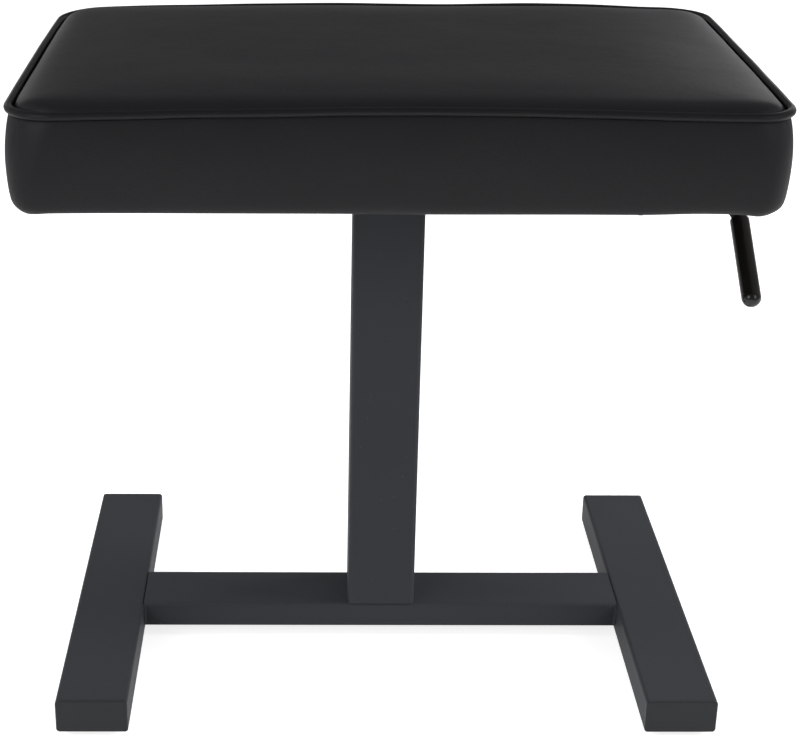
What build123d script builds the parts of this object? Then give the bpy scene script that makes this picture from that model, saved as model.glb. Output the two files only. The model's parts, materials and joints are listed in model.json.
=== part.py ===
from build123d import *

import os
from math import cos, radians, sin

# Height-adjustable keyboard bench: padded seat on a square telescopic column over an H-shaped base.
# Millimetres, +Z up, origin on the floor under the column; -Y is the front, +X is the release handle's side.

# Feet
feet_span = 460.0
foot_length = 316.0
foot_width = 50.0
foot_height = 25.0
foot_wall = 1.5
foot_corner = 2.5
least_corner = 0.3
cap_thickness = 3.0
cap_edge = 0.8
cap_plug_depth = 16.0
cap_plug_wall = 2.0
cap_rib = 1.5
cap_clearance = 0.15
pad_thickness = 4.0
pad_length = 36.0
pad_width = 44.0
pad_setback = 9.0
pad_edge = 1.0

# Cross beam
beam_depth = 50.0
beam_height = 20.0
beam_wall = 1.5
beam_corner = 2.5
beam_access_hole = 24.0

# Column and the parts that guide the inner column
column_size = 50.0
column_wall = 2.0
column_corner = 3.5
column_height = 312.0
inner_size = 40.0
inner_wall = 1.5
inner_corner = 3.0
inner_foot_height = 31.0
slide_clearance = 0.25
bush_seat_clearance = 0.05
collar_flange = 3.0
collar_edge = 1.0
collar_depth = 40.0
glide_height = 40.0
glide_lip = 3.0
glide_lip_width = 1.5
neck_height = 33.0
window_width = 18.0
window_margin = 3.0
window_cut = 6.0

# Gas spring
cylinder_diameter = 28.0
cylinder_wall = 1.75
cylinder_base = 8.0
rod_diameter = 10.0
rod_stud_diameter = 8.0
rod_exposed = 6.0
rod_length = 180.0
rod_fit = 0.05
guide_length = 18.0
piston_height = 15.0
piston_clearance = 0.3
piston_edge = 0.6
stud_diameter = 10.0
stud_length = 14.0
stud_clearance = 0.25
nut_width = 17.0
nut_height = 8.0
washer_diameter = 21.0
washer_thickness = 2.0
valve_diameter = 4.0
valve_clearance = 0.1
valve_exposed = 8.0
valve_length = 26.0
valve_bore_spare = 6.0

# Release head, release lever and crank arm
rod_plate_thickness = 6.0
head_width = 30.0
head_base = 9.0
cheek_thickness = 5.0
head_depth = 36.0
cheek_depth = 10.0
cheek_top_margin = 5.0
cheek_corner = 3.3
lever_thickness = 8.0
lever_height = 7.7
lever_corner = 2.5
lever_side_clearance = 1.0
lever_nose = 5.0
lever_tail = 4.0
pivot_offset = 13.0
pivot_below_top = 2.8
pivot_diameter = 5.0
pivot_fit = 0.05
pivot_head_diameter = 8.0
pivot_head_thickness = 1.5
press_gap = 0.1
nose_gap = 0.2
arm_reach = 21.7
arm_angle = 29.0
arm_nose_radius = 3.0
arm_elbow_back = 7.0
arm_elbow_rise = 13.0
arm_elbow_radius = 3.5
arm_thickness = 8.0
arm_hub_diameter = 18.0
arm_hub_length = 10.0
roll_pin_diameter = 3.0

# Release handle
axle_forward = 42.0
axle_drop = 21.5
handle_rod_diameter = 10.0
handle_inset = 7.75
handle_angle = 35.4
handle_bend = 15.0
handle_length = 79.0
axle_left_end = 34.0
grip_diameter = 13.0
grip_length = 70.5
grip_shoulder = 1.4
fit_clearance = 0.02

# Handle bearings
ear_spacing = 51.0
ear_thickness = 3.0
ear_width = 20.0
ear_web = 3.0
ear_bend = 2.7
bush_diameter = 13.0
bush_flange_diameter = 16.0
bush_flange = 1.5
bush_fit = 0.05
clip_diameter = 16.0
clip_thickness = 1.2
clip_gap = 0.4
outer_bracket_gap = 8.0
outer_bracket_foot = 34.0
bracket_screw_diameter = 4.0
bracket_screw_head = 8.0
bracket_screw_head_height = 2.6
bracket_screw_dome = 1.6
bracket_screw_length = 10.0
bracket_screw_spacing = 11.0

# Seat plate and board
plate_width = 260.0
plate_depth = 180.0
plate_thickness = 4.0
plate_lip = 14.0
plate_bend_inside = 2.0
screw_edge_x = 18.0
screw_edge_y = 25.0
screw_diameter = 6.0
screw_clearance = 0.3
screw_head_diameter = 11.0
screw_head_height = 3.6
screw_head_edge = 1.8
screw_socket = 5.0
screw_socket_depth = 2.2
screw_bite = 10.0
seat_washer_diameter = 14.0
seat_washer_thickness = 1.2
tee_barrel = 8.4
tee_flange_diameter = 18.0
tee_flange = 1.5
tee_depth = 9.0
thread_gap = 0.05
board_thickness = 12.0
board_inset = 18.0
board_corner = 18.0
dust_cover_thickness = 0.6
dust_cover_border = 12.0
dust_cover_gap = 1.0

# Upholstery
seat_width = 487.5
seat_depth = 316.0
seat_corner = 20.0
seat_draw_long = 3.0
seat_draw_short = 2.0
skin = 1.2
soft_gap = 0.3
seam_rise = 64.0
seam_tuck = 3.0
bottom_tuck = 8.5
band_steps = ((0.0, 1.0), (0.05, 0.5), (0.14, 0.3), (0.4, 0.1), (0.72, 0.0))
crown_rise = 10.0
crown_flat = 183.0
crown_power = 4.5
crown_steps = (0.0, 0.05, 0.12, 0.22, 0.4, 0.7, 1.0)
piping_diameter = 5.5
piping_inset = 0.3
skin_margin = 28.0
seam_lip = 6.0

# Heights and places that follow from the sizes above
foot_bottom = pad_thickness
foot_top = foot_bottom + foot_height
beam_length = feet_span - 2 * foot_width
column_top = foot_top + column_height
collar_top = column_top + collar_flange
column_inside = column_size - 2 * column_wall
inner_inside = inner_size - 2 * inner_wall
board_width = seat_width - 2 * board_inset
board_depth = seat_depth - 2 * board_inset
handle_plane = seat_width / 2 - handle_inset
outer_bracket_place = plate_width / 2 + outer_bracket_gap + outer_bracket_foot
plate_bottom = collar_top + neck_height
board_bottom = plate_bottom + plate_thickness
board_top = board_bottom + board_thickness
seat_bottom = board_bottom - skin
seam_height = board_bottom + seam_rise
ledge_height = seam_height - piping_diameter / 2 - soft_gap
crown_inset = seam_tuck + piping_inset + piping_diameter / 2 + soft_gap
crown_run = (seat_depth - crown_flat) / 2 - crown_inset
crown_height = crown_rise + seam_height - ledge_height
inner_bottom = foot_top + inner_foot_height
axle_y = -axle_forward
axle_z = plate_bottom - axle_drop
nose_y = axle_y + arm_reach * cos(radians(arm_angle))
nose_z = axle_z + arm_reach * sin(radians(arm_angle))
lever_top = nose_z - arm_nose_radius - nose_gap
lever_bottom = lever_top - lever_height
pivot_z = lever_top - pivot_below_top
valve_top = lever_bottom - press_gap
head_floor = valve_top - valve_exposed
rod_plate_top = head_floor - head_base
rod_plate_bottom = rod_plate_top - rod_plate_thickness
cylinder_top = rod_plate_bottom - rod_exposed
cylinder_bore = cylinder_diameter - 2 * cylinder_wall
bush_bore = handle_rod_diameter + 2 * bush_fit
ear_outer = ear_spacing / 2


def save(node, *solids):
    """Write one node, a single solid or a group of equal ones."""
    shape = solids[0] if len(solids) == 1 else Compound(children=list(solids))
    export_step(shape, f"parts/{node}.step")


def rounded_box(width, depth, corner, bottom, top):
    """Upright block with rounded vertical edges, centred on the column."""
    return extrude(Pos(0, 0, bottom) * RectangleRounded(width, depth, corner), top - bottom)


def tube_profile(width, height, wall, corner):
    """Section of a rolled rectangular tube."""
    inside = RectangleRounded(width - 2 * wall, height - 2 * wall, max(corner - wall, least_corner))
    return RectangleRounded(width, height, corner) - inside


def along_x(profile, start, end):
    """Extrude a profile drawn in Y and Z from one X to another."""
    return extrude(Plane.YZ.offset(start) * profile, end - start)


def upright(x, y, diameter, bottom, top):
    """Round upright pin or hole."""
    return extrude(Pos(x, y, bottom) * Circle(diameter / 2), top - bottom)


def foot_tube(side):
    """Foot tube, open at both ends for its caps."""
    length = foot_length - 2 * cap_thickness
    place = (side * (feet_span - foot_width) / 2, -length / 2, foot_bottom + foot_height / 2)
    plane = Plane(origin=place, x_dir=(1, 0, 0), z_dir=(0, 1, 0))
    return extrude(plane * tube_profile(foot_width, foot_height, foot_wall, foot_corner), length)


def foot_cap(side, end):
    """Moulded end cap: a face plate with a hollow ribbed plug behind it."""
    plane = Plane(
        origin=(side * (feet_span - foot_width) / 2, end * foot_length / 2, foot_bottom + foot_height / 2),
        x_dir=(1, 0, 0),
        z_dir=(0, -end, 0),
    )
    face = extrude(RectangleRounded(foot_width, foot_height, foot_corner), cap_thickness)
    face = chamfer(face.faces().sort_by(Axis.Z)[0].edges(), cap_edge)
    plug_width = foot_width - 2 * (foot_wall + cap_clearance)
    plug_height = foot_height - 2 * (foot_wall + cap_clearance)
    plug_ring = tube_profile(plug_width, plug_height, cap_plug_wall, foot_corner)
    plug_ring += Rectangle(cap_rib, plug_height - cap_plug_wall)
    plug = extrude(Pos(0, 0, cap_thickness) * plug_ring, cap_plug_depth)
    return plane * (face + plug)


def foot_pad(side, end):
    """Rubber pad under the end of a foot, with a soft lower edge."""
    pad = extrude(Rectangle(pad_width, pad_length), pad_thickness)
    pad = chamfer(pad.faces().sort_by(Axis.Z)[0].edges(), pad_edge)
    place_y = end * (foot_length / 2 - pad_setback - pad_length / 2)
    return Pos(side * (feet_span - foot_width) / 2, place_y, 0) * pad


def cross_beam():
    """Beam between the feet, bored above for the gas spring's stud and below for a socket."""
    profile = tube_profile(beam_depth, beam_height, beam_wall, beam_corner)
    beam_middle = foot_top - beam_height / 2
    beam = along_x(Pos(0, beam_middle) * profile, -beam_length / 2, beam_length / 2)
    beam -= upright(0, 0, stud_diameter + 2 * stud_clearance, beam_middle, foot_top)
    return beam - upright(0, 0, beam_access_hole, foot_top - beam_height, beam_middle)


def column():
    """Outer column, standing on the cross beam."""
    profile = tube_profile(column_size, column_size, column_wall, column_corner)
    return extrude(Pos(0, 0, foot_top) * profile, column_height)


def column_collar():
    """Plastic guide in the column's mouth, with a flange on top of it."""
    sleeve_size = column_inside - 2 * bush_seat_clearance
    opening = inner_size + 2 * slide_clearance
    collar = rounded_box(column_size, column_size, column_corner, column_top, collar_top)
    collar = chamfer(collar.faces().sort_by(Axis.Z)[-1].edges(), collar_edge)
    collar += rounded_box(
        sleeve_size, sleeve_size, column_corner - column_wall, column_top - collar_depth, column_top
    )
    return collar - rounded_box(
        opening, opening, inner_corner + slide_clearance, column_top - collar_depth, collar_top
    )


def inner_column():
    """Sliding tube, with a window in its front wall for the release lever."""
    profile = tube_profile(inner_size, inner_size, inner_wall, inner_corner)
    tube = extrude(Pos(0, 0, inner_bottom) * profile, plate_bottom - inner_bottom)
    window_bottom = collar_top + window_margin
    window = Pos(0, -inner_size / 2, (window_bottom + plate_bottom - window_margin) / 2) * Box(
        window_width, window_cut, plate_bottom - window_bottom - window_margin
    )
    return tube - window


def inner_column_glide():
    """Plastic shoe round the foot of the inner column, with a lip under the tube's end."""
    outer = column_inside - 2 * slide_clearance
    socket = inner_size + 2 * bush_seat_clearance
    lip_opening = inner_inside - 2 * glide_lip_width
    corner = column_corner - column_wall
    glide = rounded_box(outer, outer, corner, inner_bottom - glide_lip, inner_bottom + glide_height)
    glide -= rounded_box(
        socket, socket, inner_corner + bush_seat_clearance, inner_bottom, inner_bottom + glide_height
    )
    return glide - rounded_box(lip_opening, lip_opening, corner, inner_bottom - glide_lip, inner_bottom)


def gas_spring_cylinder():
    """Gas spring's barrel with a closed foot and a stud through the cross beam."""
    barrel = upright(0, 0, cylinder_diameter, foot_top, cylinder_top)
    barrel = fillet(barrel.edges().sort_by(Axis.Z)[-1], cylinder_wall / 2)
    barrel -= upright(0, 0, cylinder_bore, foot_top + cylinder_base, cylinder_top)
    return barrel + upright(0, 0, stud_diameter, foot_top - stud_length, foot_top)


def gas_spring_guide():
    """Guide and seal carrier in the barrel's mouth."""
    guide = upright(0, 0, cylinder_bore - 2 * bush_seat_clearance, cylinder_top - guide_length, cylinder_top)
    return guide - upright(0, 0, rod_diameter + 2 * rod_fit, cylinder_top - guide_length, cylinder_top)


def gas_spring_rod():
    """Piston rod with a shoulder under the rod plate, a stud above it and the valve pin's bore."""
    rod = upright(0, 0, rod_diameter, rod_plate_bottom - rod_length, rod_plate_bottom)
    rod += upright(0, 0, rod_stud_diameter, rod_plate_bottom, head_floor)
    bore_bottom = valve_top - valve_length - valve_bore_spare
    return rod - upright(0, 0, valve_diameter + 2 * valve_clearance, bore_bottom, head_floor)


def gas_spring_piston():
    """Piston under the rod's lower end."""
    rod_bottom = rod_plate_bottom - rod_length
    piston = upright(
        0, 0, cylinder_bore - 2 * piston_clearance, rod_bottom - piston_height, rod_bottom
    )
    return chamfer(piston.edges(), piston_edge)


def valve_pin():
    """Release pin of the gas spring, with a domed top."""
    pin = upright(0, 0, valve_diameter, valve_top - valve_length, valve_top - valve_diameter / 2)
    return pin + Pos(0, 0, valve_top - valve_diameter / 2) * Sphere(valve_diameter / 2)


def gas_spring_nut():
    """Nut on the stud, inside the cross beam."""
    top = foot_top - beam_wall - washer_thickness
    hexagon = RegularPolygon(nut_width / 2, 6, major_radius=False)
    nut = extrude(Pos(0, 0, top - nut_height) * hexagon, nut_height)
    return nut - upright(0, 0, stud_diameter + 2 * thread_gap, top - nut_height, top)


def gas_spring_washer():
    """Washer between the nut and the cross beam's upper wall."""
    top = foot_top - beam_wall
    washer = upright(0, 0, washer_diameter, top - washer_thickness, top)
    return washer - upright(0, 0, stud_diameter + 2 * stud_clearance, top - washer_thickness, top)


def rod_plate():
    """Plate welded across the inner column, which the rod's shoulder lifts."""
    corner = max(inner_corner - inner_wall, least_corner)
    plate = rounded_box(inner_inside, inner_inside, corner, rod_plate_bottom, rod_plate_top)
    return plate - upright(0, 0, rod_stud_diameter + 2 * rod_fit, rod_plate_bottom, rod_plate_top)


def release_head():
    """Head screwed on the rod's stud, with two cheeks that carry the release lever."""
    head = Pos(0, 0, (rod_plate_top + head_floor) / 2) * Box(head_width, head_depth, head_base)
    cheek_inner = lever_thickness / 2 + lever_side_clearance
    cheek_top = pivot_z + cheek_top_margin
    cheek = Pos(pivot_offset, (head_floor + cheek_top) / 2) * Rectangle(cheek_depth, cheek_top - head_floor)
    cheek = fillet(cheek.vertices().sort_by(Axis.Y)[-2:], cheek_corner)
    for start in (cheek_inner, -cheek_inner - cheek_thickness):
        head += along_x(cheek, start, start + cheek_thickness)
    head -= upright(0, 0, rod_stud_diameter + 2 * rod_fit, rod_plate_top, head_floor)
    hole = Pos(pivot_offset, pivot_z) * Circle(pivot_diameter / 2 + fit_clearance)
    return head - along_x(hole, -head_width, head_width)


def release_pivot_pin():
    """Headed pin through the cheeks."""
    reach = lever_thickness / 2 + lever_side_clearance + cheek_thickness
    centre = Pos(pivot_offset, pivot_z)
    pin = along_x(centre * Circle(pivot_diameter / 2), -reach - pivot_head_thickness, reach)
    return pin + along_x(centre * Circle(pivot_head_diameter / 2), reach, reach + pivot_head_thickness)


def release_lever():
    """Finger on the pivot pin that presses the valve pin when its front end is pushed down."""
    front = nose_y - lever_nose
    back = pivot_offset + lever_tail
    middle = Pos((front + back) / 2, (lever_top + lever_bottom) / 2)
    profile = middle * RectangleRounded(back - front, lever_height, lever_corner)
    profile -= Pos(pivot_offset, pivot_z) * Circle(pivot_diameter / 2 + pivot_fit)
    return along_x(profile, -lever_thickness / 2, lever_thickness / 2)


def crank_arm():
    """Arm pinned to the handle's rod: up to an elbow, then back to a nose over the release lever."""
    hub = Pos(axle_y, axle_z) * Circle(arm_hub_diameter / 2)
    nose = Pos(nose_y, nose_z) * Circle(arm_nose_radius)
    elbow = Pos(axle_y + arm_elbow_back, axle_z + arm_elbow_rise) * Circle(arm_elbow_radius)
    web = make_hull(hub.edges() + elbow.edges()) + make_hull(elbow.edges() + nose.edges())
    arm = along_x(web, -arm_thickness / 2, arm_thickness / 2)
    arm += along_x(hub, -arm_thickness / 2 - arm_hub_length, -arm_thickness / 2)
    bore = Pos(axle_y, axle_z) * Circle(handle_rod_diameter / 2 + fit_clearance)
    return arm - along_x(bore, -ear_spacing, ear_spacing) - roll_pin_shape(fit_clearance)


def roll_pin_shape(gap):
    """Pin across the hub and the rod, or its hole when a gap is given."""
    place_x = -(arm_thickness + arm_hub_length) / 2
    reach = arm_hub_diameter / 2
    pin = upright(place_x, axle_y, roll_pin_diameter + 2 * gap, axle_z - reach, axle_z + reach)
    return pin


def handle_direction():
    """Unit vector from the axle down the handle."""
    slope = radians(handle_angle)
    return Vector(0, -cos(slope), -sin(slope))


def lever_rod():
    """Bent rod: an axle along X under the seat, then the handle towards the front."""
    corner = Vector(handle_plane, axle_y, axle_z)
    start = Vector(-axle_left_end, axle_y, axle_z)
    path = FilletPolyline(start, corner, corner + handle_direction() * handle_length, radius=handle_bend)
    section = Plane(origin=start, z_dir=(1, 0, 0)) * Circle(handle_rod_diameter / 2)
    return sweep(section, path=path) - roll_pin_shape(fit_clearance)


def lever_grip():
    """Dipped grip: a closed sleeve with a round tip, from the bend to past the rod's end."""
    mouth = Vector(handle_plane, axle_y, axle_z) + handle_direction() * handle_bend
    sleeve = extrude(Circle(grip_diameter / 2), grip_length - grip_diameter / 2)
    sleeve = fillet(sleeve.edges().sort_by(Axis.Z)[0], grip_shoulder)
    sleeve += Pos(0, 0, grip_length - grip_diameter / 2) * Sphere(grip_diameter / 2)
    bore_depth = handle_length - handle_bend + fit_clearance
    sleeve -= extrude(Circle(handle_rod_diameter / 2 + fit_clearance), bore_depth)
    return Plane(origin=mouth, z_dir=handle_direction()) * sleeve


def bearing_bush(inner_face, outward):
    """Flanged bush in a bearing ear, flange on the outward side of the ear's face."""
    bush_length = ear_thickness
    bush = extrude(Circle(bush_diameter / 2 - bush_seat_clearance), bush_length)
    bush += extrude(Pos(0, 0, bush_length) * Circle(bush_flange_diameter / 2), bush_flange)
    bush -= extrude(Circle(bush_bore / 2), bush_length + bush_flange)
    return Plane(origin=(inner_face, axle_y, axle_z), z_dir=(outward, 0, 0)) * bush


def ear_profile(top):
    """Bearing ear from a given top down to a round end about the axle."""
    ear = Pos(axle_y, (top + axle_z) / 2) * Rectangle(ear_width, top - axle_z)
    ear += Pos(axle_y, axle_z) * Circle(ear_width / 2)
    return ear - Pos(axle_y, axle_z) * Circle(bush_diameter / 2)


def lever_inner_bracket():
    """Folded bracket under the seat plate with an ear on each side of the crank arm."""
    web_top = plate_bottom
    web = Pos(0, axle_y, web_top - ear_web / 2) * Box(ear_spacing, ear_width, ear_web)
    web = fillet(web.faces().sort_by(Axis.Z)[-1].edges().filter_by(Axis.Y), ear_bend)
    for start in (-ear_outer, ear_outer - ear_thickness):
        web += along_x(ear_profile(web_top - ear_web), start, start + ear_thickness)
    return web


def outer_bracket_screw_places():
    """Two screw places across the outer bracket's foot."""
    middle = outer_bracket_place - ear_thickness - (outer_bracket_foot - ear_thickness) / 2
    return [(middle, axle_y - bracket_screw_spacing / 2), (middle, axle_y + bracket_screw_spacing / 2)]


def lever_outer_bracket():
    """Angle bracket screwed under the board, carrying the axle near the handle."""
    foot_middle = outer_bracket_place - outer_bracket_foot / 2
    foot = Box(outer_bracket_foot, ear_width, ear_web)
    bracket = Pos(foot_middle, axle_y, board_bottom - ear_web / 2) * foot
    for x, y in outer_bracket_screw_places():
        bracket -= upright(x, y, bracket_screw_diameter + 2 * screw_clearance, plate_bottom, board_bottom)
    ear = ear_profile(board_bottom - ear_web)
    return bracket + along_x(ear, outer_bracket_place - ear_thickness, outer_bracket_place)


def bracket_screw(x, y):
    """Wood screw with a domed head under the bracket's foot."""
    seat = board_bottom - ear_web
    head = upright(x, y, bracket_screw_head, seat - bracket_screw_head_height, seat)
    head = fillet(head.edges().sort_by(Axis.Z)[0], bracket_screw_dome)
    return head + upright(x, y, bracket_screw_diameter, seat, seat + bracket_screw_length)


def lever_clip():
    """Push-on washer that keeps the axle from sliding out of its bushes."""
    end = -ear_outer - bush_flange - clip_gap
    ring = Circle(clip_diameter / 2) - Circle(handle_rod_diameter / 2 + fit_clearance)
    return along_x(Pos(axle_y, axle_z) * ring, end - clip_thickness, end)


def seat_screw_places():
    """Four screw places near the seat plate's corners."""
    reach_x = plate_width / 2 - screw_edge_x
    reach_y = plate_depth / 2 - screw_edge_y
    return [(side * reach_x, end * reach_y) for side in (-1, 1) for end in (-1, 1)]


def seat_plate():
    """Folded steel channel under the board, its front and back lips turned down."""
    middle = board_bottom - plate_lip / 2
    profile = Pos(0, middle) * Rectangle(plate_depth, plate_lip)
    profile = fillet(profile.vertices().sort_by(Axis.Y)[-2:], plate_bend_inside + plate_thickness)
    inside = Pos(0, middle - plate_thickness) * Rectangle(plate_depth - 2 * plate_thickness, plate_lip)
    inside = fillet(inside.vertices().sort_by(Axis.Y)[-2:], plate_bend_inside)
    plate = along_x(profile - inside, -plate_width / 2, plate_width / 2)
    for x, y in seat_screw_places():
        plate -= upright(x, y, screw_diameter + 2 * screw_clearance, plate_bottom, board_bottom)
    return plate


def seat_washer(x, y):
    """Washer under the seat plate."""
    bottom = plate_bottom - seat_washer_thickness
    washer = upright(x, y, seat_washer_diameter, bottom, plate_bottom)
    return washer - upright(x, y, screw_diameter + 2 * screw_clearance, bottom, plate_bottom)


def seat_screw(x, y):
    """Socket-head screw from below, through washer and plate into its tee nut."""
    seat = plate_bottom - seat_washer_thickness
    head = upright(x, y, screw_head_diameter, seat - screw_head_height, seat)
    head = fillet(head.edges().sort_by(Axis.Z)[0], screw_head_edge)
    socket = Pos(x, y, seat - screw_head_height) * RegularPolygon(screw_socket / 2, 6, major_radius=False)
    head -= extrude(socket, screw_socket_depth)
    return head + upright(x, y, screw_diameter, seat, board_bottom + screw_bite)


def tee_nut(x, y):
    """Tee nut: a barrel in the board and a flange on top of it."""
    nut = upright(x, y, tee_barrel, board_top - tee_depth, board_top)
    nut += upright(x, y, tee_flange_diameter, board_top, board_top + tee_flange)
    return nut - upright(x, y, screw_diameter + 2 * thread_gap, board_top - tee_depth, board_top + tee_flange)


def board_block(gap):
    """Outline of the seat board, grown by a gap."""
    return rounded_box(
        board_width + 2 * gap, board_depth + 2 * gap, board_corner + gap, board_bottom - gap, board_top + gap
    )


def seat_board():
    """Plywood board with holes for tee nuts and bracket screws."""
    board = board_block(0)
    for x, y in seat_screw_places():
        board -= upright(x, y, tee_barrel + 2 * thread_gap, board_bottom, board_top)
    for x, y in outer_bracket_screw_places():
        board -= upright(x, y, bracket_screw_diameter + 2 * thread_gap, board_bottom, board_top)
    return board


def seat_outline(inset, height):
    """Seat outline at one height: sides drawn in between rounded corners."""
    half_width = seat_width / 2 - inset
    half_depth = seat_depth / 2 - inset
    corners = [
        (-half_width, -half_depth),
        (half_width, -half_depth),
        (half_width, half_depth),
        (-half_width, half_depth),
    ]
    middles = [
        (0, -half_depth + seat_draw_long),
        (half_width - seat_draw_short, 0),
        (0, half_depth - seat_draw_long),
        (-half_width + seat_draw_short, 0),
    ]
    sides = [
        ThreePointArc(corners[side], middles[side], corners[(side + 1) % 4]) for side in range(4)
    ]
    face = make_face(sides)
    return Pos(0, 0, height) * fillet(face.vertices(), seat_corner)


def band_form(depth):
    """Side of the cushion from its turned-under foot to the seam's ledge, taken in by a depth."""
    bottom = seat_bottom + depth
    height = ledge_height - depth - bottom
    outlines = [
        seat_outline(tuck * bottom_tuck + depth, bottom + rise * height) for rise, tuck in band_steps
    ]
    outlines.append(seat_outline(seam_tuck + depth, bottom + height))
    return loft(outlines)


def crown_form(depth):
    """Crowned top of the cushion from the seam's ledge up, taken in by a depth."""
    height = crown_height - depth
    outlines = [
        seat_outline(
            crown_inset + depth + share * crown_run,
            ledge_height + height * (1 - (1 - share) ** crown_power),
        )
        for share in crown_steps
    ]
    return loft(outlines)


def seam_opening(gap, bottom, top):
    """Opening inside the side band's upper lip, narrowed by a gap."""
    return extrude(seat_outline(crown_inset + seam_lip + gap, bottom), top - bottom)


def top_panel():
    """Crowned top panel of the cover, standing on the side band's lip inside the piping."""
    return crown_form(0) - crown_form(skin)


def side_band():
    """Side band of the cover with a lip under the seam and a margin turned under the board."""
    band = band_form(0) - band_form(skin)
    band -= seam_opening(0, ledge_height - skin, ledge_height)
    margin_width = board_width - 2 * skin_margin
    margin_depth = board_depth - 2 * skin_margin
    return band - rounded_box(margin_width, margin_depth, board_corner, seat_bottom, board_bottom)


def piping():
    """Corded piping on the seam's ledge, round the foot of the crown."""
    path = seat_outline(seam_tuck + piping_inset, seam_height).wires()[0]
    section = Plane(origin=path @ 0, z_dir=path % 0) * Circle(piping_diameter / 2)
    return sweep(section, path=path)


def foam():
    """Foam block, wrapped over the board's edges and clear of the tee nuts."""
    depth = skin + soft_gap
    block = band_form(depth) + crown_form(depth)
    block += seam_opening(soft_gap, ledge_height - depth, ledge_height)
    block -= board_block(soft_gap)
    for x, y in seat_screw_places():
        recess_top = board_top + tee_flange + soft_gap
        block -= upright(x, y, tee_flange_diameter + 2 * soft_gap, board_top, recess_top)
    return block


def dust_cover():
    """Cloth under the board, cut out round the seat plate and the outer bracket."""
    top = seat_bottom
    bottom = top - dust_cover_thickness
    cloth = rounded_box(
        board_width - 2 * dust_cover_border, board_depth - 2 * dust_cover_border, board_corner, bottom, top
    )
    middle = (bottom + top) / 2
    cloth -= Pos(0, 0, middle) * Box(
        plate_width + 2 * dust_cover_gap, plate_depth + 2 * dust_cover_gap, dust_cover_thickness
    )
    foot_middle = outer_bracket_place - outer_bracket_foot / 2
    cut = Pos(foot_middle, axle_y, middle) * Box(
        outer_bracket_foot + 2 * dust_cover_gap, ear_width + 2 * dust_cover_gap, dust_cover_thickness
    )
    return cloth - cut


os.makedirs("parts", exist_ok=True)

sides = {"left": -1, "right": 1}
ends = {"front": -1, "rear": 1}
for side_name, side in sides.items():
    save(f"{side_name}_foot", foot_tube(side))
    for end_name, end in ends.items():
        save(f"foot_cap_{end_name}_{side_name}", foot_cap(side, end))
        save(f"foot_pad_{end_name}_{side_name}", foot_pad(side, end))
save("cross_beam", cross_beam())
save("column", column())
save("column_collar", column_collar())
save("gas_spring_cylinder", gas_spring_cylinder())
save("gas_spring_guide", gas_spring_guide())
save("gas_spring_nut", gas_spring_nut())
save("gas_spring_washer", gas_spring_washer())

save("inner_column", inner_column())
save("inner_column_glide", inner_column_glide())
save("gas_spring_rod", gas_spring_rod())
save("gas_spring_piston", gas_spring_piston())
save("rod_plate", rod_plate())
save("release_head", release_head())
save("release_pivot_pin", release_pivot_pin())
save("seat_plate", seat_plate())
save("seat_screws", *[seat_screw(x, y) for x, y in seat_screw_places()])
save("seat_washers", *[seat_washer(x, y) for x, y in seat_screw_places()])
save("tee_nuts", *[tee_nut(x, y) for x, y in seat_screw_places()])
save("seat_board", seat_board())
save("seat_top_panel", top_panel())
save("seat_side_band", side_band())
save("seat_piping", piping())
save("seat_foam", foam())
save("dust_cover", dust_cover())
save("lever_inner_bracket", lever_inner_bracket())
ear_inner = ear_outer - ear_thickness
save("lever_inner_bushes", bearing_bush(ear_inner, 1), bearing_bush(-ear_inner, -1))
save("lever_outer_bracket", lever_outer_bracket())
save("lever_outer_bush", bearing_bush(outer_bracket_place - ear_thickness, 1))
save("bracket_screws", *[bracket_screw(x, y) for x, y in outer_bracket_screw_places()])

save("lever_rod", lever_rod())
save("lever_grip", lever_grip())
save("crank_arm", crank_arm())
save("arm_roll_pin", roll_pin_shape(0))
save("lever_clip", lever_clip())
save("release_lever", release_lever())
save("valve_pin", valve_pin())
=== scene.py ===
import json
from math import cos, exp, radians, sin

import bmesh
import bpy
import numpy as np
from mathutils import Matrix, Vector, noise


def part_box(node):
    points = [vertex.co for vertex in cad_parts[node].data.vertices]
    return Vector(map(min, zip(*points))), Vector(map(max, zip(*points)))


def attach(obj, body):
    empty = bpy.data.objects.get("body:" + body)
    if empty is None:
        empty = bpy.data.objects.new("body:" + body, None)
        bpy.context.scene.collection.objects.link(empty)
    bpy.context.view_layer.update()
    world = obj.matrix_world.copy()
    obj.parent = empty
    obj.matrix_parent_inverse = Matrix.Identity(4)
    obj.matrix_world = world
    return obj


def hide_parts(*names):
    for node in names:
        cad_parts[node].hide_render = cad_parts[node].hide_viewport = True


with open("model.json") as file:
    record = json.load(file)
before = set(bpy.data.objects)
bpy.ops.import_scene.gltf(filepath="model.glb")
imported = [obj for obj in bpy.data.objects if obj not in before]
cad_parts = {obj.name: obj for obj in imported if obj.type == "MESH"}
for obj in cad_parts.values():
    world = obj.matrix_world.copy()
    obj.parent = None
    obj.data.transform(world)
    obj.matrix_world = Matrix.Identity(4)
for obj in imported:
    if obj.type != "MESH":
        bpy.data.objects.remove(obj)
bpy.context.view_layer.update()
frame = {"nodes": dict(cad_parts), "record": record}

# Keyboard bench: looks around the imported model. Metres, +Z up, -Y is the front.

# Camera, as fitted to the photograph
IMAGE_WIDTH = 800
IMAGE_MIDDLE_X = 400
CAMERA_PLACE = (-0.0560, -1.2042, 0.7232)
CAMERA_YAW = radians(1.221)
CAMERA_PITCH = radians(22.947)
CAMERA_ROLL = radians(0.732)
FOCAL_PIXELS = 1785.1
AXIS_PIXEL_X = 343.3
SENSOR_WIDTH = 36.0

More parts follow.
